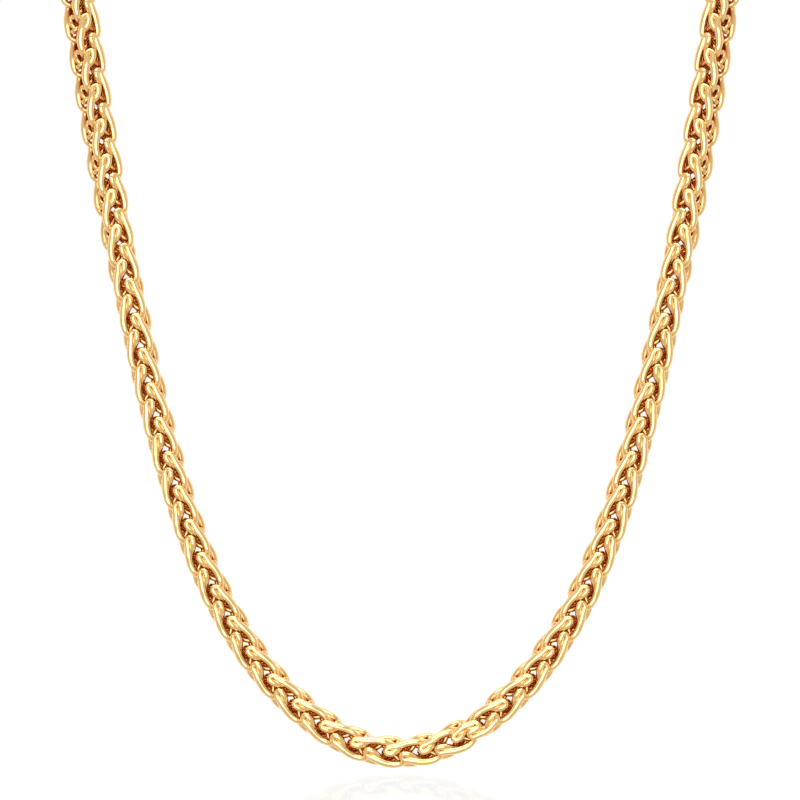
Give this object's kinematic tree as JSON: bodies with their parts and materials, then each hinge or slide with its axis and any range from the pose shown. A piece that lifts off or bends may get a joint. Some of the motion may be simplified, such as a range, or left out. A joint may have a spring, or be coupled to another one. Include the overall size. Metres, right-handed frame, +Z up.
{
  "type": "wheat chain necklace",
  "caption": "Whole-loop neck chain of woven wheat links, hung from its clasp, with a cup-shaped cap and ring at each end and a plain one-piece clasp.",
  "frame": {"origin": "underside of the clasp at the top of the loop, where the necklace hangs from the back of the neck", "axes": "+Z up the hanging loop, +X to its right, -Y out of its front"},
  "size_m": [0.1164, 0.007, 0.2034],
  "materials": {
    "chain_gold": "mirror-polished yellow gold plate over drawn wire",
    "fitting_gold": "mirror-polished yellow gold plate"
  },
  "bodies": {
    "root": {"chain_left": "chain_gold", "chain_right": "chain_gold", "end_cap_left": "fitting_gold", "end_cap_right": "fitting_gold", "clasp": "fitting_gold"}
  },
  "joints": []
}
